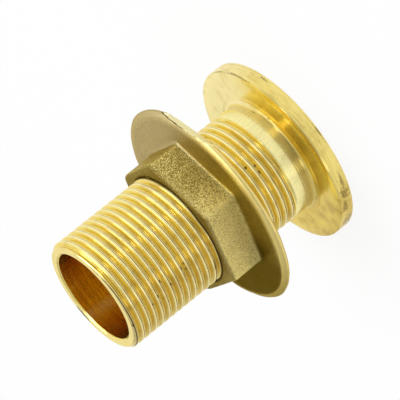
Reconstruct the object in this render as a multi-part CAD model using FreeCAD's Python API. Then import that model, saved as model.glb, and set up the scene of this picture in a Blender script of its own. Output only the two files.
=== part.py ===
import FreeCAD
import Part
import math
import os

# Brass tank connector with a three-quarter inch pipe thread, in millimetres.
# The turned body stands on its flange with the bore along +Z and its free end up.
# The origin is the centre of the flange's outer face.
# The cast back nut sits part way along the barrel, where it would clamp the tank wall.
# The thread is left plain here: the barrel is drawn at the thread's crest.

# Turned body
THREAD_RADIUS = 13.2205
BODY_LENGTH = 53.5
BARREL_WALL = 2.47
BORE_CHAMFER = 0.35
END_CHAMFER = 0.72
FLANGE_WIDTH = 7.93
FLANGE_THICKNESS = 3.4
FLANGE_EDGE_BREAK = 0.25
FLANGE_FILLET = 0.8

# Cast back nut
NUT_GAP = 16.5
NUT_HEIGHT = 10.0
NUT_WALL = 1.63
NUT_FLANGE_WIDTH = 10.83
NUT_FLANGE_THICKNESS = 2.1
NUT_RIM_ROUND_ACROSS = 2.0
NUT_RIM_ROUND_DEEP = 1.05
NUT_RIM_NOSE = 0.5
NUT_RIM_EDGE_BREAK = 0.3
NUT_MOUTH_CHAMFER = 0.7
HEX_CORNER_ROUND = 1.0
HEX_END_ROUND = 0.7
HEX_BASE_FILLET = 0.45

# Radial room between the body's thread crest and the nut
THREAD_CLEARANCE = 0.15

# Sizes that follow from the ones above
BORE_RADIUS = THREAD_RADIUS - BARREL_WALL
FLANGE_RADIUS = THREAD_RADIUS + FLANGE_WIDTH
NUT_BORE_RADIUS = THREAD_RADIUS + THREAD_CLEARANCE
NUT_FLANGE_RADIUS = NUT_BORE_RADIUS + NUT_FLANGE_WIDTH
NUT_SEAT_Z = FLANGE_THICKNESS + NUT_GAP
NUT_END_Z = NUT_SEAT_Z + NUT_HEIGHT
HEX_FLAT_RADIUS = NUT_BORE_RADIUS + NUT_WALL
HEX_CORNER_RADIUS = HEX_FLAT_RADIUS / math.cos(math.pi / 6)
HEX_SIDES = 6

AXIS_POINT = FreeCAD.Vector(0, 0, 0)
AXIS = FreeCAD.Vector(0, 0, 1)
SAME_PLACE = 1e-4


def at(radius, height):
    """A point of a turning profile."""
    return FreeCAD.Vector(radius, 0, height)


def lines(*points):
    """Straight edges through the given points."""
    return [Part.makeLine(a, b) for a, b in zip(points, points[1:])]


def arc(centre, first, last):
    """The shorter arc about a centre from one point to another."""
    middle = (first - centre) + (last - centre)
    middle.normalize()
    return Part.Arc(first, centre + middle * (first - centre).Length, last).toShape()


def turned(edges):
    """A solid turned from a closed profile about the bore axis."""
    profile = Part.Face(Part.Wire(Part.__sortEdges__(edges)))
    return profile.revolve(AXIS_POINT, AXIS, 360)


def connector_body():
    """Flange, barrel and bore, turned as one piece."""
    barrel_foot = at(THREAD_RADIUS, FLANGE_THICKNESS + FLANGE_FILLET)
    fillet_foot = at(THREAD_RADIUS + FLANGE_FILLET, FLANGE_THICKNESS)
    fillet_centre = at(THREAD_RADIUS + FLANGE_FILLET, FLANGE_THICKNESS + FLANGE_FILLET)
    outside = lines(
        at(BORE_RADIUS + BORE_CHAMFER, 0),
        at(FLANGE_RADIUS - FLANGE_EDGE_BREAK, 0),
        at(FLANGE_RADIUS, FLANGE_EDGE_BREAK),
        at(FLANGE_RADIUS, FLANGE_THICKNESS - FLANGE_EDGE_BREAK),
        at(FLANGE_RADIUS - FLANGE_EDGE_BREAK, FLANGE_THICKNESS),
        fillet_foot,
    )
    fillet = arc(fillet_centre, fillet_foot, barrel_foot)
    barrel_and_bore = lines(
        barrel_foot,
        at(THREAD_RADIUS, BODY_LENGTH - END_CHAMFER),
        at(THREAD_RADIUS - END_CHAMFER, BODY_LENGTH),
        at(BORE_RADIUS + BORE_CHAMFER, BODY_LENGTH),
        at(BORE_RADIUS, BODY_LENGTH - BORE_CHAMFER),
        at(BORE_RADIUS, BORE_CHAMFER),
        at(BORE_RADIUS + BORE_CHAMFER, 0),
    )
    return turned(outside + [fillet] + barrel_and_bore)


def soft_rim(rim_top, face_edge):
    """Section of the cast rim: a tight nose at the rim that runs into a wide arc at the face."""
    across, deep = NUT_RIM_ROUND_ACROSS - NUT_RIM_NOSE, NUT_RIM_ROUND_DEEP - NUT_RIM_NOSE
    wide = (across**2 + NUT_RIM_ROUND_DEEP**2 - NUT_RIM_NOSE**2) / (2 * deep)
    nose_centre = rim_top - at(NUT_RIM_NOSE, 0)
    wide_centre = face_edge - at(0, wide)
    meeting = nose_centre - wide_centre
    meeting.normalize()
    meeting = wide_centre + meeting * wide
    return [arc(nose_centre, rim_top, meeting), arc(wide_centre, meeting, face_edge)]


def nut_flange():
    """Round flange of the nut: flat on the tank side, with a soft cast rim on the other."""
    face_z = NUT_SEAT_Z + NUT_FLANGE_THICKNESS
    rim_top = at(NUT_FLANGE_RADIUS, face_z - NUT_RIM_ROUND_DEEP)
    face_edge = at(NUT_FLANGE_RADIUS - NUT_RIM_ROUND_ACROSS, face_z)
    below_rim = lines(
        at(0, NUT_SEAT_Z),
        at(NUT_FLANGE_RADIUS - NUT_RIM_EDGE_BREAK, NUT_SEAT_Z),
        at(NUT_FLANGE_RADIUS, NUT_SEAT_Z + NUT_RIM_EDGE_BREAK),
        rim_top,
    )
    above_rim = lines(face_edge, at(0, face_z), at(0, NUT_SEAT_Z))
    return turned(below_rim + soft_rim(rim_top, face_edge) + above_rim)


def is_upright(edge):
    """True for an edge that runs along the bore axis."""
    first, last = edge.Vertexes[0].Point, edge.Vertexes[-1].Point
    return math.hypot(last.x - first.x, last.y - first.y) < SAME_PLACE


def lies_at(edge, height):
    """True for an edge that lies flat at this height."""
    box = edge.BoundBox
    return abs(box.ZMin - height) < SAME_PLACE and abs(box.ZMax - height) < SAME_PLACE


def hexagon():
    """Cast hexagon for the spanner, with soft corners and a soft end."""
    corners = []
    for side in range(HEX_SIDES + 1):
        angle = 2 * math.pi * side / HEX_SIDES
        x, y = HEX_CORNER_RADIUS * math.cos(angle), HEX_CORNER_RADIUS * math.sin(angle)
        corners.append(FreeCAD.Vector(x, y, NUT_SEAT_Z))
    prism = Part.Face(Part.makePolygon(corners)).extrude(AXIS * NUT_HEIGHT)
    prism = prism.makeFillet(HEX_CORNER_ROUND, [e for e in prism.Edges if is_upright(e)])
    end_edges = [e for e in prism.Edges if lies_at(e, NUT_END_Z)]
    return prism.makeFillet(HEX_END_ROUND, end_edges)


def nut_bore():
    """What the nut's hole takes away: the bore and a chamfered mouth at each end."""
    mouth = NUT_BORE_RADIUS + NUT_MOUTH_CHAMFER
    return turned(lines(
        at(0, NUT_SEAT_Z),
        at(mouth, NUT_SEAT_Z),
        at(NUT_BORE_RADIUS, NUT_SEAT_Z + NUT_MOUTH_CHAMFER),
        at(NUT_BORE_RADIUS, NUT_END_Z - NUT_MOUTH_CHAMFER),
        at(mouth, NUT_END_Z),
        at(0, NUT_END_Z),
        at(0, NUT_SEAT_Z),
    ))


def back_nut():
    """Hexagon and flange in one casting, with a small fillet where they meet."""
    casting = nut_flange().fuse(hexagon()).removeSplitter()
    face_z = NUT_SEAT_Z + NUT_FLANGE_THICKNESS
    hex_reach = HEX_CORNER_RADIUS + SAME_PLACE
    foot_edges = [e for e in casting.Edges if lies_at(e, face_z) and e.BoundBox.XMax < hex_reach]
    casting = casting.makeFillet(HEX_BASE_FILLET, foot_edges)
    return casting.cut(nut_bore())


os.makedirs("parts", exist_ok=True)
pieces = {"connector_body": connector_body(), "back_nut": back_nut()}
for name, shape in pieces.items():
    shape.exportStep(f"parts/{name}.step")
    print(name, "valid", shape.isValid(), "solids", len(shape.Solids), "volume", round(shape.Volume, 2))
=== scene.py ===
# %% [markdown]
# A brass tank connector
# The part carries water through the wall of a tank. A turned brass body has a flange at one
# end and a long pipe thread, and a cast brass back nut runs on the thread to clamp the wall.
# The packed CAD model is the fixed frame here. Two detailed meshes, one for each piece, are
# built on its sizes, because the CAD leaves the barrel plain where the real one is threaded.

# %% Load the frame
import math

import bmesh
import bpy
import numpy as np
from mathutils import Matrix, Vector, noise


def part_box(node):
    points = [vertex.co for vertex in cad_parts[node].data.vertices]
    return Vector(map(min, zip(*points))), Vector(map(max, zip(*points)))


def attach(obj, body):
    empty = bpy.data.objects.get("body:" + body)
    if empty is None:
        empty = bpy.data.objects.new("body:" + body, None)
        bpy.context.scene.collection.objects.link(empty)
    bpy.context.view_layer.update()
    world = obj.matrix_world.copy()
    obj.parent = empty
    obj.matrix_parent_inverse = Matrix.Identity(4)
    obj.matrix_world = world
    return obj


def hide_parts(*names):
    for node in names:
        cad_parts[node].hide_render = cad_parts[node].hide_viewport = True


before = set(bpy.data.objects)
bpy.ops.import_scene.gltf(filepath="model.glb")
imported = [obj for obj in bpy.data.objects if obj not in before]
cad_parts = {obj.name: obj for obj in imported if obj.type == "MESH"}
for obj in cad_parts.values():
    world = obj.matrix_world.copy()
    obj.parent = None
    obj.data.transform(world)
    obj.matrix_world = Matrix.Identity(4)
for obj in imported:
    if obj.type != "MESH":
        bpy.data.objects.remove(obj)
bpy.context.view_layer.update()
MM = 0.001

# %% [markdown]
# Sizes
# A lesson in mesh code reads best in the maker's own unit, so the part's lengths below are in
# millimetres and are turned into Blender's metres once, when a mesh is made. Distances in the
# room round the part, and heights of bumps, are in metres. The outer sizes come from the boxes
# of the CAD nodes, so the dressed pieces stay where the solids are.

# %% Outer sizes from the CAD nodes
body_low, body_high = (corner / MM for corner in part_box("connector_body"))
nut_low, nut_high = (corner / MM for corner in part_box("back_nut"))
BODY_LENGTH = body_high.z
FLANGE_RADIUS = body_high.x
NUT_SEAT = nut_low.z
NUT_END = nut_high.z
print("body", round(BODY_LENGTH, 2), "long, flange", round(2 * FLANGE_RADIUS, 2), "across")
print("nut from", round(NUT_SEAT, 2), "to", round(NUT_END, 2))

# %% [markdown]
# Camera
# The picture is taken from a long way off with a long lens, so lines that are parallel on the
# part stay nearly parallel. The connector lies on its side there, while the model stands on
# its flange. Rolling the camera about its own line of sight gives the same view of the part
# without moving anything.

# %% Camera at the photograph's angle
AIM = Vector((1.723, -0.769, 22.045))
CAMERA_DISTANCE = 743.23
CAMERA_AZIMUTH, CAMERA_ELEVATION = -114.035, 19.9045
CAMERA_ROLL = math.radians(128.606)
SENSOR_WIDTH, LENS = 36.0, 322.909
NEAREST, FARTHEST = 0.01, 20.0


def direction_of(azimuth, elevation):
    """Unit vector from an azimuth and an elevation in degrees."""
    azimuth, elevation = math.radians(azimuth), math.radians(elevation)
    level = math.cos(elevation)
    return Vector((math.cos(azimuth) * level, math.sin(azimuth) * level, math.sin(elevation)))


camera_data = bpy.data.cameras.new("camera")
camera_data.sensor_width = SENSOR_WIDTH
camera_data.lens = LENS
camera_data.clip_start = NEAREST
camera_data.clip_end = FARTHEST
camera = bpy.data.objects.new("camera", camera_data)
toward_camera = direction_of(CAMERA_AZIMUTH, CAMERA_ELEVATION)
upright = (-toward_camera).to_track_quat("-Z", "Y").to_matrix()
rolled = upright @ Matrix.Rotation(-CAMERA_ROLL, 3, "Z")
camera_place = (AIM + toward_camera * CAMERA_DISTANCE) * MM
camera.matrix_world = Matrix.Translation(camera_place) @ rolled.to_4x4()
bpy.context.scene.collection.objects.link(camera)
bpy.context.scene.camera = camera
print("camera at", [round(v, 4) for v in camera.matrix_world.translation])

# %% [markdown]
# Grids that meet
# A turned part is one outline swept round an axis. Here each stretch of it is a grid of points:
# rows follow the outline and columns go round the axis. The stretches share their border
# points, so merging points that coincide sews the whole piece into one closed skin. Edges
# sharper than a set angle stay crisp, and all others are shaded smooth.

# %% Helpers that lay out grids
FULL_TURN = 2 * math.pi


def around(radius, angle, height):
    """Points at a radius, angle and height, with the three spread over one grid."""
    radius, angle, height = np.broadcast_arrays(radius, angle, height)
    return np.stack([radius * np.cos(angle), radius * np.sin(angle), height], axis=-1)


def swept(outline, angles):
    """Grid of an outline of (radius, height) pairs turned round the axis."""
    radius, height = np.array(outline, float).T
    return around(radius[:, None], angles[None, :], height[:, None])


quarters = np.arange(4) * FULL_TURN / 4
print("four points of a ring", around(1.0, quarters, 0.0).round(2).tolist())

# %% Helpers that sew grids into a closed mesh
SAME_POINT = 0.0005
SHARP_EDGE = math.radians(32)


def sewn(grids):
    """One closed skin, in millimetres, from grids whose borders meet."""
    points, faces, start = [], [], 0
    for grid in grids:
        rows, columns = grid.shape[:2]
        index = start + np.arange(rows * columns).reshape(rows, columns)
        corners = [index[:-1, :-1], index[:-1, 1:], index[1:, 1:], index[1:, :-1]]
        faces.append(np.stack(corners, axis=-1).reshape(-1, 4))
        points.append(grid.reshape(-1, 3))
        start += rows * columns
    mesh = bpy.data.meshes.new("skin")
    mesh.from_pydata(np.concatenate(points).tolist(), [], np.concatenate(faces).tolist())
    skin = bmesh.new()
    skin.from_mesh(mesh)
    bpy.data.meshes.remove(mesh)
    bmesh.ops.remove_doubles(skin, verts=skin.verts, dist=SAME_POINT)
    bmesh.ops.recalc_face_normals(skin, faces=skin.faces)
    return skin


def finished(skin, name):
    """Blender object, in metres, of a skin that is done."""
    open_edges = sum(not edge.is_manifold for edge in skin.edges)
    triangles = sum(len(face.verts) - 2 for face in skin.faces)
    print(name, "has", triangles, "triangles and", open_edges, "open edges")
    for face in skin.faces:
        face.smooth = True
    bmesh.ops.scale(skin, vec=(MM, MM, MM), verts=skin.verts)
    mesh = bpy.data.meshes.new(name)
    skin.to_mesh(mesh)
    skin.free()
    mesh.set_sharp_from_angle(angle=SHARP_EDGE)
    piece = bpy.data.objects.new(name, mesh)
    bpy.context.scene.collection.objects.link(piece)
    return piece


print("points closer than", SAME_POINT, "mm become one")

# %% [markdown]
# The pipe thread
# The thread is the three-quarter inch parallel pipe thread: 14 turns to the inch, flanks 55
# degrees apart and rounded roots. Its crests are turned off to broad flats with a small round
# at each edge. It could be modelled with the Screw modifier, but a formula for the radius at
# any angle and height also lets the groove fade out at the collar and break out of the chamfer
# at the free end. The rows of the grid climb with the thread, so each crest follows its rows
# and stays even all the way round.

# %% Radius of the threaded barrel
PITCH = 1.814
FLANK_LEAN = math.radians(27.5)
ROOT_ROUND = 0.1373 * PITCH
ROOT_REACH = ROOT_ROUND * math.cos(FLANK_LEAN)
ROOT_RISE = ROOT_ROUND * (1 - math.sin(FLANK_LEAN))
CREST_FLAT = 0.72
CREST_EDGE = 0.08
CREST_LEVEL = CREST_FLAT / 2 - CREST_EDGE * math.tan((math.pi / 2 - FLANK_LEAN) / 2)
CREST_REACH = CREST_LEVEL + CREST_EDGE * math.cos(FLANK_LEAN)
THREAD_DEPTH = ROOT_RISE + (PITCH / 2 - CREST_FLAT / 2 - ROOT_REACH) / math.tan(FLANK_LEAN)
CREST_RADIUS = 13.2205
GROOVE_PHASE = 0.30


def rounding(aside, size):
    """How far a round of some size has bent away at a distance from its middle."""
    return size - np.sqrt(np.maximum(size**2 - aside**2, 0))


def groove_radius(angle, height):
    """Radius of an endless thread, and the height of the middle of the nearest groove."""
    turns = height / PITCH - angle / FULL_TURN - GROOVE_PHASE
    nearest = np.round(turns)
    aside = np.abs(turns - nearest) * PITCH
    flank = ROOT_RISE + (aside - ROOT_REACH) / math.tan(FLANK_LEAN)
    from_crest = np.maximum(PITCH / 2 - aside - CREST_LEVEL, 0)
    crest = THREAD_DEPTH - rounding(from_crest, CREST_EDGE)
    rise = np.where(PITCH / 2 - aside < CREST_REACH, crest, flank)
    rise = np.where(aside < ROOT_REACH, rounding(aside, ROOT_ROUND), rise)
    middle = (nearest + angle / FULL_TURN + GROOVE_PHASE) * PITCH
    return CREST_RADIUS - THREAD_DEPTH + rise, middle


print("thread", round(THREAD_DEPTH, 3), "deep, crest flats of", CREST_FLAT)

# %% Grid that climbs with the thread
ROOT_ROWS = ROOT_REACH * np.array([-1.0, -0.7, -0.35, 0.0, 0.35, 0.7, 1.0])
CREST_SIDE = np.array([CREST_LEVEL, (CREST_LEVEL + CREST_REACH) / 2, CREST_REACH])
CREST_ROWS = np.concatenate([-CREST_SIDE[::-1], CREST_SIDE])
PITCH_ROWS = np.concatenate([ROOT_ROWS, PITCH / 2 + CREST_ROWS])
SPARE_TURNS = 2


def threaded(low, high, angles, radius_at):
    """Grid of a thread between two heights: rows outside them close up on the end rings."""
    first = math.floor(low / PITCH) - SPARE_TURNS
    last = math.ceil(high / PITCH) + SPARE_TURNS
    turns = np.arange(first, last)[:, None] * PITCH + PITCH_ROWS[None, :]
    climb = PITCH * (GROOVE_PHASE + angles / FULL_TURN)
    height = np.clip(turns.reshape(-1)[:, None] + climb[None, :], low, high)
    return around(radius_at(angles[None, :], height), angles[None, :], height)


print("thread grid of", len(PITCH_ROWS), "rows to each pitch")

# %% [markdown]
# The turned body
# Flange, collar, thread and bore are cut in one setting on a lathe. The foot of the collar
# keeps a few fine rings where the tool stopped, the flange has small breaks on its edges, and
# the last groove of the thread runs out into the collar. The free end is chamfered, and the
# groove breaks through that chamfer. The outline below could be a curve with a Screw modifier,
# but as a list of points it meets the thread's grid exactly.

# %% Barrel from the collar to the free end
COLLAR_TOP = 6.0
RUNOUT_LOW, RUNOUT_HIGH = 8.62, 9.15
END_FACE_RADIUS = 12.5


def body_radius(angle, height):
    """Radius of the threaded barrel, from the collar to the chamfered end."""
    radius, middle = groove_radius(angle, height)
    share = np.clip((middle - RUNOUT_LOW) / (RUNOUT_HIGH - RUNOUT_LOW), 0, 1)
    depth = share * share * (3 - 2 * share)
    chamfer = END_FACE_RADIUS + (BODY_LENGTH - height)
    return np.minimum(CREST_RADIUS - depth * (CREST_RADIUS - radius), chamfer)


print("thread starts", RUNOUT_HIGH, "mm above the flange's outer face")

# %% Outline of the collar and the flange's inner face
FLANGE_FACE = 3.4
EDGE_BREAK = 0.25
FOOT_FILLET = 0.8
FILLET_STEPS = 6
FOOT_RINGS = (5.75, 5.3, 4.9, 4.5)
FACE_RINGS = (14.35, 14.75)
RING_DEPTH = 0.06
RING_HALF = 0.09
FACE_RADII = (16.5, 18.5, FLANGE_RADIUS - EDGE_BREAK)

outline = [(CREST_RADIUS, COLLAR_TOP)]
for height in FOOT_RINGS:
    outline.append((CREST_RADIUS, height + RING_HALF))
    outline.append((CREST_RADIUS - RING_DEPTH, height))
    outline.append((CREST_RADIUS, height - RING_HALF))
for step in range(FILLET_STEPS + 1):
    lean = math.radians(90 / FILLET_STEPS * step)
    reach = CREST_RADIUS + FOOT_FILLET * (1 - math.cos(lean))
    outline.append((reach, FLANGE_FACE + FOOT_FILLET * (1 - math.sin(lean))))
for radius in FACE_RINGS:
    outline.append((radius - RING_HALF, FLANGE_FACE))
    outline.append((radius, FLANGE_FACE - RING_DEPTH))
    outline.append((radius + RING_HALF, FLANGE_FACE))
outline += [(radius, FLANGE_FACE) for radius in FACE_RADII]
print("outline so far of", len(outline), "points")

# %% Outline of the rim, the outer face and the bore
BREAK_MIDDLE = EDGE_BREAK * 0.3
RIM_HEIGHTS = (FLANGE_FACE - EDGE_BREAK, 2.4, 1.2, EDGE_BREAK)
BORE_RADIUS = 10.7505
BORE_CHAMFER = 0.35
BORE_MOUTH = BORE_RADIUS + BORE_CHAMFER
BORE_ROWS = 14
BACK_RADII = (FLANGE_RADIUS - EDGE_BREAK, 18.0, 14.5, BORE_MOUTH)

outline.append((FLANGE_RADIUS - BREAK_MIDDLE, FLANGE_FACE - BREAK_MIDDLE))
outline += [(FLANGE_RADIUS, height) for height in RIM_HEIGHTS]
outline.append((FLANGE_RADIUS - BREAK_MIDDLE, BREAK_MIDDLE))
outline += [(radius, 0.0) for radius in BACK_RADII]
for height in np.linspace(BORE_CHAMFER, BODY_LENGTH - BORE_CHAMFER, BORE_ROWS):
    outline.append((BORE_RADIUS, height))
outline.append((BORE_MOUTH, BODY_LENGTH))
print("body outline of", len(outline), "points")

# %% Mesh of the turned body
BODY_COLUMNS = 192
END_ROWS = 4
body_angles = np.linspace(-math.pi, math.pi, BODY_COLUMNS + 1)
end_edge = body_radius(body_angles, BODY_LENGTH)
end_shares = np.linspace(0, 1, END_ROWS)[:, None]
end_radius = BORE_MOUTH + end_shares * (end_edge - BORE_MOUTH)[None, :]
body = finished(sewn([
    threaded(COLLAR_TOP, BODY_LENGTH, body_angles, body_radius),
    swept(outline, body_angles),
    around(end_radius, body_angles[None, :], BODY_LENGTH),
]), "turned_body")
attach(body, "connector")
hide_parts("connector_body")

# %% [markdown]
# The cast back nut
# The nut is a sand casting: a hexagon on a round flange, with soft corners and skin that is
# never quite flat. Only its tank face and its thread are machined. Where the metal was poured
# in, the stub has been ground off the rim, which leaves a bright flat. A subdivided cube would
# round everything alike, so the nut is a grid as well, whose rows change from circle to
# hexagon, and whose columns crowd together at the six corners.

# %% Columns and hexagon of the nut
HEX_FLAT = 15.0
CORNER_ROUND = 1.5
SIDE_TURN = math.pi / 3
HALF_SIDE = math.pi / 6
FLAT_POINTS, CORNER_POINTS = 29, 7
corner_reach = HEX_FLAT * math.tan(HALF_SIDE) - CORNER_ROUND * math.tan(HALF_SIDE)
corner_start = math.atan2(corner_reach, HEX_FLAT)
flat_part = np.linspace(-corner_start, corner_start, FLAT_POINTS)[:-1]
corner_part = np.linspace(corner_start, SIDE_TURN - corner_start, CORNER_POINTS)[:-1]
side_angles = np.concatenate([flat_part, corner_part])
side_middles = [math.radians(30 + 60 * side) for side in range(-4, 2)]
nut_angles = np.concatenate([side_angles + middle for middle in side_middles])
nut_angles = np.append(nut_angles, nut_angles[0] + FULL_TURN)


def hexagon_radius(angle, inward, corner_round):
    """Radius of a hexagon with rounded corners, moved inward from the flats by a distance."""
    turned = np.mod(angle, SIDE_TURN) - HALF_SIDE
    flat = (HEX_FLAT - inward) / np.cos(turned)
    corner_centre = (HEX_FLAT - inward - corner_round) / math.cos(HALF_SIDE)
    from_corner = HALF_SIDE - np.abs(turned)
    across = corner_centre * np.sin(from_corner)
    along = corner_centre * np.cos(from_corner)
    rounded = along + np.sqrt(np.maximum(corner_round**2 - across**2, 0))
    past = np.abs(np.tan(turned)) * (HEX_FLAT - inward) > corner_centre * math.sin(HALF_SIDE)
    return np.where(past, rounded, flat)


print("nut has", len(nut_angles) - 1, "columns")

# %% Rim of the nut, with the stub ground off
FLANGE_TOP = 22.0
FACE_EDGE = 22.2
RIM_OUTLINE = [
    (22.5, 19.9), (22.95, 19.97), (23.35, 20.13), (23.68, 20.38), (23.92, 20.68), (24.03, 21.0),
    (23.98, 21.25), (23.8, 21.5), (23.5, 21.7), (23.1, 21.86), (22.65, 21.96),
    (FACE_EDGE, FLANGE_TOP),
]
GATE_ANGLE = math.radians(-74)
GATE_LEAN = math.radians(38)
GATE_START = math.radians(-58)
GATE_RADIUS, GATE_HEIGHT = 22.75, 20.9
LEAST_ASIDE = 0.1
gate_offset = GATE_RADIUS * math.cos(GATE_LEAN) - GATE_HEIGHT * math.sin(GATE_LEAN)


def gate_cut(radius, height):
    """Radii of a rim row after the poured-in stub is ground off on a slanting plane."""
    aside = np.cos(nut_angles - GATE_ANGLE) * math.cos(GATE_LEAN)
    plane = (gate_offset + height * math.sin(GATE_LEAN)) / np.maximum(aside, LEAST_ASIDE)
    return np.where(nut_angles < GATE_START, np.minimum(radius, plane), radius)


def past_gate(x, y, z):
    """How far a point, or a shader's place, lies outside the plane of the ground-off stub."""
    outward = x * math.cos(GATE_ANGLE) + y * math.sin(GATE_ANGLE)
    return outward * math.cos(GATE_LEAN) - z * math.sin(GATE_LEAN) - gate_offset


print("stub ground off at", round(math.degrees(GATE_ANGLE)), "degrees round the rim")

# %% Rows of the nut, from the tank face over the rim and up the hexagon
MOUTH_RADIUS = 13.32
SEAT_RADII = (MOUTH_RADIUS, 16.0, 18.5, 21.0)
FOOT_ROUND, FOOT_LEANS = 0.6, (30, 60, 90)
END_ROUND, END_LEANS = 1.1, (20, 40, 60, 75, 90)
FACE_STEPS, SIDE_STEPS = 8, 8
END_SHARES = (0.35, 0.7, 1.0)


def hexagon_row(inward, height):
    """One row of the hexagon, moved inward with its corners rounded to suit, and its height."""
    return hexagon_radius(nut_angles, inward, CORNER_ROUND - inward), height


rows = [(np.full_like(nut_angles, radius), NUT_SEAT) for radius in SEAT_RADII]
rows += [(gate_cut(radius, height), height) for radius, height in RIM_OUTLINE]
foot_edge, foot_height = hexagon_row(-FOOT_ROUND, FLANGE_TOP)
for share in np.linspace(0, 1, FACE_STEPS + 1)[1:]:
    rows.append((FACE_EDGE + share * (foot_edge - FACE_EDGE), foot_height))
for lean in np.radians(FOOT_LEANS):
    foot_height = FLANGE_TOP + FOOT_ROUND * (1 - math.cos(lean))
    rows.append(hexagon_row(FOOT_ROUND * (math.sin(lean) - 1), foot_height))
for height in np.linspace(FLANGE_TOP + FOOT_ROUND, NUT_END - END_ROUND, SIDE_STEPS + 1)[1:]:
    rows.append(hexagon_row(0, height))
for lean in np.radians(END_LEANS):
    end_height = NUT_END - END_ROUND * (1 - math.sin(lean))
    rows.append(hexagon_row(END_ROUND * (1 - math.cos(lean)), end_height))
top_edge = rows[-1][0]
rows += [(top_edge + share * (MOUTH_RADIUS - top_edge), NUT_END) for share in END_SHARES]
outer = np.stack([around(radius, nut_angles, height) for radius, height in rows])
print("nut skin of", len(rows), "rows")

# %% Thread inside the nut
THREAD_ROOM = 0.08
MOUTH_DEPTH = 0.4
MOUTH_TAPER = 0.08


def nut_bore_radius(angle, height):
    """Radius of the nut's own thread, with a countersunk mouth at each end."""
    radius, middle = groove_radius(angle, height)
    from_end = np.minimum(height - NUT_SEAT, NUT_END - height)
    mouth = MOUTH_RADIUS - np.maximum(MOUTH_TAPER * from_end, from_end - MOUTH_DEPTH)
    return np.maximum(radius + THREAD_ROOM, mouth)


nut_skin = sewn([outer, threaded(NUT_SEAT, NUT_END, nut_angles, nut_bore_radius)])
print("nut skin sewn from", len(nut_skin.verts), "points")

# %% Uneven skin of the casting
WAVE_SIZE, WAVE_DEPTH = 5.0, 0.09
RIPPLE_SIZE, RIPPLE_DEPTH = 1.3, 0.035
MACHINED_ROOM = 0.05

nut_skin.normal_update()
moved = []
for vert in nut_skin.verts:
    reach = math.hypot(vert.co.x, vert.co.y)
    cast = vert.co.z > NUT_SEAT + MACHINED_ROOM and reach > MOUTH_RADIUS + MACHINED_ROOM
    if cast and past_gate(*vert.co) < -MACHINED_ROOM:
        wave = WAVE_DEPTH * noise.noise(vert.co / WAVE_SIZE)
        ripple = RIPPLE_DEPTH * noise.noise(vert.co / RIPPLE_SIZE)
        moved.append((vert, vert.normal * (wave + ripple - WAVE_DEPTH)))
for vert, shift in moved:
    vert.co += shift
nut = finished(nut_skin, "cast_nut")
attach(nut, "nut")
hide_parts("back_nut")
print("casting moved at", len(moved), "points")

# %% [markdown]
# Shader maths as Python
# Node trees are easier to read as formulas. The class below wraps one socket. Adding,
# multiplying or comparing two of them puts a Math node into the tree, and its node method adds
# any other kind of node. A soft step and a blend of two colours are used so often here that
# they have methods of their own.

# %% One class for shader nodes
class Flow:
    """A socket in a node tree; arithmetic on it adds Math nodes."""

    def __init__(self, tree, socket=None):
        self.tree, self.socket = tree, socket

    def node(self, kind, settings=None, inputs=None, output=0):
        """Add a node: its settings first, then the values or links of its sockets."""
        made = self.tree.nodes.new(kind)
        for name, value in (settings or {}).items():
            setattr(made, name, value)
        for name, value in (inputs or {}).items():
            if isinstance(value, Flow):
                self.tree.links.new(value.socket, made.inputs[name])
            else:
                made.inputs[name].default_value = value
        return Flow(self.tree, made.outputs[output])

    def math(self, operation, first, second=0.0):
        """Add a Math node."""
        return self.node("ShaderNodeMath", {"operation": operation}, {0: first, 1: second})

    def __add__(self, other):
        return self.math("ADD", self, other)

    def __sub__(self, other):
        return self.math("SUBTRACT", self, other)

    def __rsub__(self, other):
        return self.math("SUBTRACT", other, self)

    def __mul__(self, other):
        return self.math("MULTIPLY", self, other)

    def __truediv__(self, other):
        return self.math("DIVIDE", self, other)

    def __pow__(self, other):
        return self.math("POWER", self, other)

    def __lt__(self, other):
        return self.math("LESS_THAN", self, other)

    def __gt__(self, other):
        return self.math("GREATER_THAN", self, other)

    def __abs__(self):
        return self.math("ABSOLUTE", self)

    __radd__, __rmul__ = __add__, __mul__

    def smooth(self, low, high):
        """0 below low, 1 above high, and a soft step between them."""
        settings = {"interpolation_type": "SMOOTHSTEP"}
        return self.node("ShaderNodeMapRange", settings, {0: self, 1: low, 2: high, 3: 0.0, 4: 1.0})

    def colour(self, zero, one):
        """A colour that goes from one to another as this value goes from 0 to 1."""
        settings = {"data_type": "RGBA"}
        return self.node("ShaderNodeMix", settings, {0: self, 6: zero, 7: one}, output=2)


print("a Flow has the methods", [name for name in vars(Flow) if not name.startswith("_")])

# %% Helpers for the two metals
def new_material(name):
    """A material with one Principled shader, and a Flow to start its nodes from."""
    material = bpy.data.materials.new(name)
    material.use_nodes = True
    return material, material.node_tree.nodes["Principled BSDF"], Flow(material.node_tree)


def place_on_part(start):
    """Position in millimetres, its three parts, and the distance from the axis."""
    place = start.node("ShaderNodeTexCoord", output="Object")
    place = start.node("ShaderNodeVectorMath", {"operation": "SCALE"}, {0: place, "Scale": 1 / MM})
    x, y, z = (start.node("ShaderNodeSeparateXYZ", None, {0: place}, output=axis) for axis in "XYZ")
    return place, x, y, z, (x * x + y * y) ** 0.5


def soft_noise(place, scale, detail, roughness=0.5):
    """Noise with a number of changes in each millimetre."""
    inputs = {"Vector": place, "Scale": scale, "Detail": detail, "Roughness": roughness}
    return place.node("ShaderNodeTexNoise", None, inputs)


def toward(angle, side, low, high):
    """1 on the side of the part at some degrees, and 0 where the cosine falls below low."""
    return angle.math("COSINE", angle - math.radians(side)).smooth(low, high)


def layered(tone, layers):
    """A tone with further colours laid over it in turn, each as far as its mask says."""
    for mask, layer in layers:
        tone = mask.colour(tone, layer)
    return tone


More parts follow.
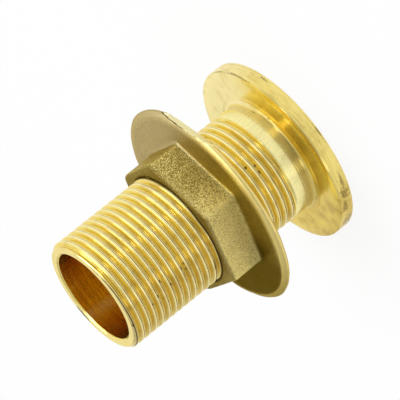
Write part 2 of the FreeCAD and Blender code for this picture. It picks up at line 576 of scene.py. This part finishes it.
def dress(piece, material, tone, dullness, relief):
    """Link what changes over a metal to its shader, and give the metal to a piece."""
    tree = material.node_tree
    shader = tree.nodes["Principled BSDF"]
    tree.links.new(tone.socket, shader.inputs["Base Color"])
    tree.links.new(dullness.socket, shader.inputs["Roughness"])
    tree.links.new(relief.socket, shader.inputs["Normal"])
    shader.inputs["Metallic"].default_value = 1.0
    piece.data.materials.append(material)
    print(material.name, "of", len(tree.nodes), "nodes")


print("one metal for each of", len([body, nut]), "pieces")

# %% [markdown]
# Turned brass
# A lathe leaves fine rings: along them the metal is smooth, across them it is ridged. The rings
# are a noise that changes quickly with the radius and the height but slowly round the axis, and
# its fourth dimension lets it close up after a full turn. They drive the bump and the
# roughness. The bore was drilled, so its marks are coarser and longer. An image of scratches
# would need unwrapping, and a noise in the part's own place needs none. Each surface is found by
# its radius and its height as well, with a hair's breadth or a little slack to spare.

# %% Rings of the turned brass
RING_FINENESS, RING_DRIFT = 9.0, 0.8
DRILL_FINENESS, DRILL_DRIFT = 1.5, 0.7
turned_brass, shader, start = new_material("turned_brass")
place, x, y, z, reach = place_on_part(start)
angle = start.math("ARCTAN2", y, x)


def stretched_noise(parts, fourth, detail, roughness=0.5):
    """Noise in four dimensions, each with a stretch of its own."""
    at = start.node("ShaderNodeCombineXYZ", None, dict(enumerate(parts)))
    inputs = {"Vector": at, "W": fourth, "Scale": 1.0, "Detail": detail, "Roughness": roughness}
    return start.node("ShaderNodeTexNoise", {"noise_dimensions": "4D"}, inputs)


def ring_noise(fineness, drift):
    """Noise with a number of changes in each millimetre across the rings and few round them."""
    parts = (reach * fineness, z * fineness, x / reach * drift)
    return stretched_noise(parts, y / reach * drift, detail=3.0, roughness=0.65)


rings = ring_noise(RING_FINENESS, RING_DRIFT)
tool_marks = ring_noise(DRILL_FINENESS, DRILL_DRIFT)
print("rings of", len(turned_brass.node_tree.nodes), "nodes")

# %% Where each surface of the body is
HAIR = 0.02
SLACK = 0.1
in_bore = 1 - reach.smooth(BORE_RADIUS + SLACK / 2, BORE_RADIUS + SLACK * 1.5)
on_rim = reach.smooth(FLANGE_RADIUS - SLACK * 3, FLANGE_RADIUS - SLACK)
on_face = (z > FLANGE_FACE - SLACK) * (z < FLANGE_FACE + HAIR) * (reach < FLANGE_RADIUS - EDGE_BREAK)
on_collar = (z > FLANGE_FACE + HAIR) * (z < RUNOUT_LOW) * (reach > CREST_RADIUS - SLACK)
on_barrel = (z > RUNOUT_HIGH) * (reach > CREST_RADIUS - THREAD_DEPTH - SLACK / 2)
faced = z.smooth(BODY_LENGTH - HAIR * 3, BODY_LENGTH - HAIR) * 0.3
print("six surfaces found by radius and height")

# %% [markdown]
# Wear, dirt and painted light of the body
# Handling and cutting oil leave their traces, and some light and shade is painted into the colour.
# A dark seam of painted shade follows each crest, the crests are rubbed pale and carry a painted
# highlight, and the grooves get a deeper gold as painted shade. One side of the barrel has painted
# shade. The flange has brown blooms, painted shade on one side and painted light on another that
# reaches the collar, and dirt and scratches on its rim. The upper collar is polished and carries a
# painted highlight, its foot rings hold dirt, and the bore has a painted highlight. A few pits and
# nicks, and a spot of painted shade at the free end, are single marks, each a soft ellipse at an
# angle and a height. All this could be painted on an image, but a mask made from the place on the
# part needs no unwrapping.

# %% Tones along the thread
SEAM_LIT_SIDE, BARREL_SHADE_SIDE = -50, 185
SEAM_START, SEAM_STOP = (0.365, 0.38), (0.465, 0.48)
CREST_PART, ROOT_PART = (0.29, 0.33), (0.14, 0.3)
bloom = soft_noise(place, 0.3, 4.0)
speck = soft_noise(place, 1.6, 2.0)
turns = z / PITCH - angle / FULL_TURN - GROOVE_PHASE
up_groove = start.math("FRACT", turns + 0.5) - 0.5
seam = up_groove.smooth(*SEAM_START) * (1 - up_groove.smooth(*SEAM_STOP))
# Painted shade: a dark seam along each crest, where the back flank falls in shade, weaker on the lit
# side.
seam_lit = toward(angle, SEAM_LIT_SIDE, 0.5, 1.0) * 0.5
seam_shade = seam * (1 - seam_lit) * on_barrel * (speck.smooth(0.3, 0.55) * 0.25 + 0.75)
# The crests are made paler: partly rubbed wear, partly a painted highlight.
crest_wear_and_highlight = abs(up_groove).smooth(*CREST_PART) * on_barrel * 0.8
# Painted shade: the grooves get a deeper gold, where the flanks mirror one another.
deep = (1 - abs(up_groove).smooth(*ROOT_PART)) * on_barrel * 0.7
# Painted shade on one side of the barrel.
barrel_side_shade = toward(angle, BARREL_SHADE_SIDE, 0.5, 1.0) * on_barrel * 0.35
print("thread tones bring the nodes to", len(turned_brass.node_tree.nodes))

# %% Single marks on the body
PIT_LENGTH, PIT_WIDTH = 0.45, 0.22
THREAD_PITS = [
    (-144.2, 38.43), (-150.5, 38.33), (-140.4, 43.97), (-150.2, 42.15), (-155.2, 47.58),
    (-151.6, 45.86), (-112.0, 12.6), (-119.8, 12.68), (-108.3, 14.4), (-161.8, 53.2),
]
NICKS = [(-70.0, 4.3, 0.65, 0.12), (-86.7, 3.6, 0.25, 0.15)]
# A painted shade at the free end: a dark spot on the rim of the end face, with no cut in the mesh.
END_SHADE_SPOT = (73.5, BODY_LENGTH, 2.3, 0.4)
END_SHADE_REACH = END_FACE_RADIUS - 0.9
RIM_DIRT = [
    (-40.0, 3.3, 4.0, 0.14), (-56.0, 3.3, 3.6, 0.3), (-66.0, 3.3, 2.4, 0.14),
    (-152.0, 1.4, 2.5, 0.5), (-161.0, 1.6, 1.8, 1.2), (-171.0, 2.0, 1.8, 1.0),
    (171.0, 1.4, 3.5, 1.4), (-76.8, 0.8, 1.6, 0.25), (-120.0, 0.4, 3.0, 0.2),
    (60.0, 2.2, 2.5, 0.4), (110.0, 1.2, 2.0, 0.5), (-10.0, 1.8, 2.0, 0.3),
]


def marks(places):
    """Soft ellipses, each with an angle in degrees, a height, a half length and a half width."""
    marked = None
    for at, height, half_length, half_width in places:
        along = (angle - math.radians(at)) * reach / half_length
        across = (z - height) / half_width
        off_middle = (along * along + across * across) ** 0.5
        spot = 1 - (off_middle + (speck - 0.5) * 2.0).smooth(0.4, 1.1)
        marked = start.math("MAXIMUM", marked, spot) if marked else spot
    return marked


pits = marks([(at, height, PIT_LENGTH, PIT_WIDTH) for at, height in THREAD_PITS])
dents = pits * on_barrel + marks(NICKS) * on_collar
rim_dirt = marks(RIM_DIRT) * on_rim
end_shade_spot = marks([END_SHADE_SPOT]) * (reach > END_SHADE_REACH)
print(len(THREAD_PITS), "pits,", len(NICKS), "nicks and", len(RIM_DIRT), "spots of dirt on the rim")

# %% Wear and painted light of the flange, the collar and the bore
# Sides of painted shade on the flange, painted light on the flange and collar, and a painted
# highlight in the bore.
FLANGE_SHADE_SIDE, PAINTED_LIGHT_SIDE, BORE_HIGHLIGHT_SIDE = 160, -15, 82
SCRATCH_FINENESS, SCRATCH_DRIFT = 5.0, 4.0
CHATTER_FINENESS, CHATTER_STRETCH = 60.0, 0.4
POLISH_HIGHLIGHT_START, POLISH_HIGHLIGHT_FULL = 5.2, 6.4
RING_DIRT_INNER, RING_DIRT_OUTER = 0.03, 0.09

scratch_parts = (z * SCRATCH_FINENESS, x / reach * SCRATCH_DRIFT, reach)
scratches = stretched_noise(scratch_parts, y / reach * SCRATCH_DRIFT, detail=2.0)
worn_rim = scratches.smooth(0.5, 0.7) * on_rim
tarnish = bloom.smooth(0.45, 0.75) * 0.35 + speck.smooth(0.7, 0.78) * 0.3 + worn_rim * 0.55

on_flange = (z < FLANGE_FACE + SLACK) * (reach > CREST_RADIUS)
# Painted shade on one side of the flange, broken up by the blooms and the rings.
flange_side_shade = toward(angle, FLANGE_SHADE_SIDE, 0.55, 0.95) * on_flange * (bloom + rings).smooth(0.4, 1.4) * 0.9
# Painted light: the flange and collar are paler on the side the light comes from.
painted_light = toward(angle, PAINTED_LIGHT_SIDE, 0.45, 0.95) * (z < RUNOUT_LOW) * (1 - in_bore) * 0.65

chatter_parts = (x / reach * CHATTER_FINENESS, y / reach * CHATTER_FINENESS, z * CHATTER_STRETCH)
chatter = stretched_noise(chatter_parts, 0.0, detail=2.0).smooth(0.4, 0.7) * on_collar
# The upper collar is smoother and paler: a real polish in the roughness, a painted highlight in the
# colour.
polish_and_highlight = z.smooth(POLISH_HIGHLIGHT_START, POLISH_HIGHLIGHT_FULL) * on_collar * 0.8
ring_dirt = 0.0
for ring in FOOT_RINGS:
    ring_dirt = ring_dirt + (1 - abs(z - ring).smooth(RING_DIRT_INNER, RING_DIRT_OUTER)) * on_collar

# Painted highlight: a pale streak along the bore, broken up by the drill marks.
bore_highlight = toward(angle, BORE_HIGHLIGHT_SIDE, 0.982, 0.999) * in_bore * (1 - tool_marks.smooth(0.5, 0.75))
print("wear brings the nodes to", len(turned_brass.node_tree.nodes))

# %% [markdown]
# Colour and relief of the turned brass
# The colours are laid over each other like thin washes, clean metal first and dirt and painted
# shade last, so one wash can change without the rest. The relief goes into a bump. The collar tapers
# a little, too
# little to model, and a ramp in the bump tilts it so that it mirrors the floor. A constant
# anisotropy spreads the highlights across the rings, as they do on a real turned face.

# %% Colour of the turned brass
DARK_RING, PALE_RING = (0.88, 0.70, 0.20, 1.0), (0.94, 0.78, 0.27, 1.0)
tone = layered(rings.smooth(0.3, 0.7).colour(DARK_RING, PALE_RING), [
    (on_face * 0.5, (0.90, 0.68, 0.08, 1.0)),
    # Painted light on one side of the flange and the collar.
    (painted_light, (0.96, 0.88, 0.52, 1.0)),
    (in_bore * 0.7, (0.98, 0.81, 0.15, 1.0)),
    (in_bore * tool_marks.smooth(0.42, 0.58) * 0.5, (0.62, 0.42, 0.06, 1.0)),
    # Painted highlight along the bore.
    (bore_highlight, (1.0, 0.97, 0.60, 1.0)),
    # Painted shade of deeper gold in the grooves.
    (deep, (0.86, 0.65, 0.12, 1.0)),
    # Rubbed wear and a painted highlight on the crests.
    (crest_wear_and_highlight, (0.99, 0.89, 0.46, 1.0)),
    # Real brown blooms, with painted shade on one side of the barrel and one side of the flange.
    (tarnish + flange_side_shade + barrel_side_shade, (0.56, 0.38, 0.08, 1.0)),
    # Painted highlight on the polished upper collar.
    (polish_and_highlight, (0.99, 0.91, 0.44, 1.0)),
    (chatter * 0.27, (0.64, 0.53, 0.26, 1.0)),
    (faced, (0.98, 0.86, 0.40, 1.0)),
    # Painted shade along the thread's seams, and real dirt on the rim and in the foot rings.
    (seam_shade + rim_dirt * 0.6 + ring_dirt * 0.45, (0.14, 0.085, 0.02, 1.0)),
    # Dark pits and nicks, and a spot of painted shade at the free end.
    (dents * 0.85 + end_shade_spot * 0.9, (0.05, 0.03, 0.01, 1.0)),
])
print("colours bring the nodes to", len(turned_brass.node_tree.nodes))

# %% Relief and dullness of the turned brass
TAPER_START = 4.4
TAPER = 12.0
RING_BUMP, RING_HEIGHT = 0.35, 0.00002
up_collar = start.math("MINIMUM", start.math("MAXIMUM", z, TAPER_START), RUNOUT_LOW)
taper = up_collar * (1 - in_bore) * TAPER
raised = rings * (1 - on_collar * 0.5) - taper + in_bore * tool_marks * 10.0
raised = raised + chatter * 0.2 - dents * 3.0
bump = {"Strength": RING_BUMP, "Distance": RING_HEIGHT, "Height": raised}
relief = start.node("ShaderNodeBump", None, bump)
dullness = rings * 0.08 + tarnish * 0.2 + (on_collar - polish_and_highlight) * 0.15
dullness = dullness + on_barrel * 0.06 + on_rim * 0.1 + 0.1
dress(body, turned_brass, tone, dullness, relief)
shader.inputs["Anisotropic"].default_value = 0.85
shader.inputs["Anisotropic Rotation"].default_value = 0.25
shader.inputs["Specular Tint"].default_value = (1.0, 0.95, 0.78, 1.0)

# %% [markdown]
# Cast brass
# Sand leaves a grain of a few tenths of a millimetre in the skin of the casting, dull and olive
# coloured, with bright points where a facet catches the light. It is coarser on the hexagon
# than on the flange. Some sides carry painted light or shade: one side of the hexagon and one
# of the flange are made lighter, another side of the flange darker, and the rim and face edge get
# a painted highlight with their rubbed wear. The end of the hexagon and the mouth of the thread get
# painted shade. A fine noise makes the grain and a slow one clouds it. The machined tank face and
# the ground stub could be meshes of their own, but finding them by their place on the part keeps
# the casting in one piece.

# %% Grain of the casting
cast_brass, shader, start = new_material("cast_brass")
place, x, y, z, reach = place_on_part(start)
angle = start.math("ARCTAN2", y, x)
grain = soft_noise(place, 5.0, 2.0, roughness=0.75)
cloud = soft_noise(place, 0.5, 3.0)
on_hexagon = z.smooth(FLANGE_TOP, FLANGE_TOP + FOOT_ROUND)
on_flange = 1 - on_hexagon
print("grain of", len(cast_brass.node_tree.nodes), "nodes")

# %% Machined and worn places of the nut
BURR_SIDE = math.radians(15)
CORNER_WEAR = (16.7, 17.05)
RIM_WEAR = (22.3, 22.9)
FACE_EDGE_INNER, FACE_EDGE_OUTER = (21.9, 22.15), (22.3, 22.5)
past_stub = past_gate(x, y, z)
ground = past_stub.smooth(-0.06, -0.02)
burr_start = (x * math.cos(BURR_SIDE) + y * math.sin(BURR_SIDE)).smooth(0.0, 1.5)
burr = (past_stub.smooth(-0.3, -0.22) - ground) * burr_start
bright = start.math("MAXIMUM", ground, z < NUT_SEAT + 0.03)
hex_end = z.smooth(NUT_END - 0.9, NUT_END - 0.3)
mouth = 1 - reach.smooth(MOUTH_RADIUS + 0.2, MOUTH_RADIUS + 0.5)
worn_corner = reach.smooth(*CORNER_WEAR) * (z > FLANGE_TOP + FOOT_ROUND) * (1 - hex_end)
on_rim = reach.smooth(*RIM_WEAR)
face_edge = reach.smooth(*FACE_EDGE_INNER) - reach.smooth(*FACE_EDGE_OUTER)
print("machined and worn places bring the nodes to", len(cast_brass.node_tree.nodes))

# %% Painted light and shade, and wear, on the sides of the nut
HEX_LIT_SIDE, RUBBED_AND_LIT_SIDE, NUT_SHADE_SIDE, PALE_SIDE = -150, -125, 150, -20
# Painted light: one side of the hexagon is made lighter.
hex_lit_side = toward(angle, HEX_LIT_SIDE, 0.5, 1.0) * on_hexagon
# Rubbed wear and a painted highlight on the rim and the face edge, strongest on one side.
rubbed_and_lit_side = toward(angle, RUBBED_AND_LIT_SIDE, 0.2, 0.95) * 0.6 + 0.2
# Painted shade on one side of the nut's flange, off the rim.
nut_face_shade = toward(angle, NUT_SHADE_SIDE, 0.4, 0.9) * on_flange * (1 - on_rim)
# Painted light: one side of the flange is made paler.
pale = toward(angle, PALE_SIDE, 0.0, 0.95) * on_flange
print("sides bring the nodes to", len(cast_brass.node_tree.nodes))

# %% Cast brass of the nut
OLIVE_SKIN, BRIGHT_POINT = (0.33, 0.245, 0.05, 1.0), (0.99, 0.82, 0.30, 1.0)
GRAIN_BUMP, GRAIN_HEIGHT = 0.85, 0.00012
speckle = (grain - 0.5) * (on_hexagon * 4.6 + 2.8) + (cloud - 0.5) * 0.4
# The grain is lighter at the worn corners and on the painted-light side of the hexagon.
speckle = speckle + worn_corner * 0.35 + hex_lit_side * 0.8 + on_hexagon * 0.12 + 0.34
tone = layered(speckle.smooth(0.2, 1.3).colour(OLIVE_SKIN, BRIGHT_POINT), [
    (on_flange * 0.15, (0.24, 0.18, 0.045, 1.0)),
    # Rubbed wear with a painted highlight on the rim, and a painted highlight line along the face
    # edge.
    (on_rim * rubbed_and_lit_side, (0.97, 0.79, 0.29, 1.0)),
    (face_edge * rubbed_and_lit_side * 0.7, (0.95, 0.80, 0.34, 1.0)),
    # Painted light on one side of the flange, broken up by the grain.
    (pale * (0.22 + grain * 0.25), (0.82, 0.72, 0.52, 1.0)),
    # Painted shade on one side of the flange.
    (nut_face_shade * 0.9, (0.08, 0.05, 0.01, 1.0)),
    # Painted shade on the end of the hexagon.
    (hex_end * 0.6, (0.13, 0.085, 0.02, 1.0)),
    # Painted shade in the mouth of the thread, where the nut meets the barrel.
    (mouth, (0.08, 0.05, 0.012, 1.0)),
    (burr, (0.1, 0.065, 0.02, 1.0)),
    (bright, (1.0, 0.93, 0.58, 1.0)),
])
raised = grain * (1 - bright) * (on_hexagon + 0.5)
bump = {"Strength": GRAIN_BUMP, "Distance": GRAIN_HEIGHT, "Height": raised}
relief = start.node("ShaderNodeBump", None, bump)
dress(nut, cast_brass, tone, 0.5 - grain * 0.25 - bright * 0.15, relief)
shader.inputs["Specular Tint"].default_value = (0.68, 0.59, 0.38, 1.0)

# %% [markdown]
# Floor, surroundings and lamps
# Polished metal shows what stands round it, so most of the look is in the surroundings: a white
# floor, a pale room that is dimmer on the camera's side and on one other side, a pale low wall
# and three soft lamps. An image of a room could light it too, but a few soft steps in the world
# are easier to place. For the camera and for reflections the floor is mostly plain white, and
# it keeps a part of the object's shadow.

# %% Floor
FLOOR_REACH = 3.0
FLOOR_DROP = -0.0001
corners = [(-1, -1), (1, -1), (1, 1), (-1, 1)]
floor_points = [(FLOOR_REACH * a, FLOOR_REACH * b, FLOOR_DROP) for a, b in corners]
floor_mesh = bpy.data.meshes.new("floor")
floor_mesh.from_pydata(floor_points, [], [(0, 1, 2, 3)])
floor = bpy.data.objects.new("floor", floor_mesh)
bpy.context.scene.collection.objects.link(floor)
print("floor at", FLOOR_DROP / MM, "mm")

# %% White of the floor
FLOOR_WHITE = 0.88
FLOOR_PAPER = 0.95


def grey(level):
    """A neutral colour of one level."""
    return (level, level, level, 1.0)


floor_paper, shader, start = new_material("floor_paper")
shader.inputs["Base Color"].default_value = grey(FLOOR_PAPER)
shader.inputs["Roughness"].default_value = 0.9
seen = start.node("ShaderNodeLightPath", output="Is Camera Ray")
mirrored = start.node("ShaderNodeLightPath", output="Is Glossy Ray")
through = start.node("ShaderNodeLightPath", output="Is Transmission Ray")
plain = start.node("ShaderNodeEmission", None, {"Color": grey(1.0), "Strength": 1.0})
lit = Flow(floor_paper.node_tree, shader.outputs[0])
share = start.math("MAXIMUM", start.math("MAXIMUM", seen, mirrored), through) * FLOOR_WHITE
both = start.node("ShaderNodeMixShader", None, {0: share, 1: lit, 2: plain})
output = floor_paper.node_tree.nodes["Material Output"]
floor_paper.node_tree.links.new(both.socket, output.inputs["Surface"])
floor.data.materials.append(floor_paper)
print("floor is plain white by", FLOOR_WHITE, "and lit paper for the rest")

# %% Pale room
world = bpy.data.worlds.new("room")
world.use_nodes = True
bpy.context.scene.world = world
start = Flow(world.node_tree)
direction = start.node("ShaderNodeTexCoord", output="Generated")


def facing(azimuth, elevation):
    """How squarely a direction of the room points to one side, from -1 to 1."""
    inputs = {0: direction, 1: direction_of(azimuth, elevation)}
    return start.node("ShaderNodeVectorMath", {"operation": "DOT_PRODUCT"}, inputs, output="Value")


low_down = 1 - facing(0, 90).smooth(0.45, 0.75)
far_side = facing(150, 25).smooth(0.0, 0.9)
camera_half = facing(-112, 15).smooth(0.05, 0.9) * low_down
camera_patch = facing(-128, 12).smooth(0.91, 0.985)
low_wall = facing(-32, -2).smooth(0.93, 0.985)
room = layered(grey(1.0), [
    (far_side, grey(0.6)),
    (camera_half, grey(0.29)),
    (camera_patch, grey(0.15)),
    (low_wall, grey(1.0)),
])
sky = world.node_tree.nodes["Background"]
world.node_tree.links.new(room.socket, sky.inputs["Color"])
sky.inputs["Strength"].default_value = 1.0
print("room of", len(world.node_tree.nodes), "nodes")

# %% Soft lamps
LAMP_DISTANCE = 0.9
ALL_BOUNCES, MIRROR_BOUNCES = 24, 20


def soft_lamp(name, toward_lamp, size, energy):
    """A round lamp that looks at the part from one direction."""
    lamp_data = bpy.data.lights.new(name, "AREA")
    lamp_data.shape = "DISK"
    lamp_data.size = size
    lamp_data.energy = energy
    lamp = bpy.data.objects.new(name, lamp_data)
    lamp.location = AIM * MM + toward_lamp * LAMP_DISTANCE
    lamp.rotation_mode = "QUATERNION"
    lamp.rotation_quaternion = (-toward_lamp).to_track_quat("-Z", "Y")
    bpy.context.scene.collection.objects.link(lamp)
    print(name, "at", [round(v, 3) for v in lamp.location])


soft_lamp("front_lamp", direction_of(-84, 24), size=0.24, energy=0.55)
soft_lamp("right_lamp", direction_of(-160, 6), size=0.3, energy=0.35)
soft_lamp("side_lamp", direction_of(-30, 62), size=0.7, energy=2.4)
bpy.context.scene.view_settings.view_transform = "Standard"
bpy.context.scene.cycles.max_bounces = ALL_BOUNCES
bpy.context.scene.cycles.glossy_bounces = MIRROR_BOUNCES
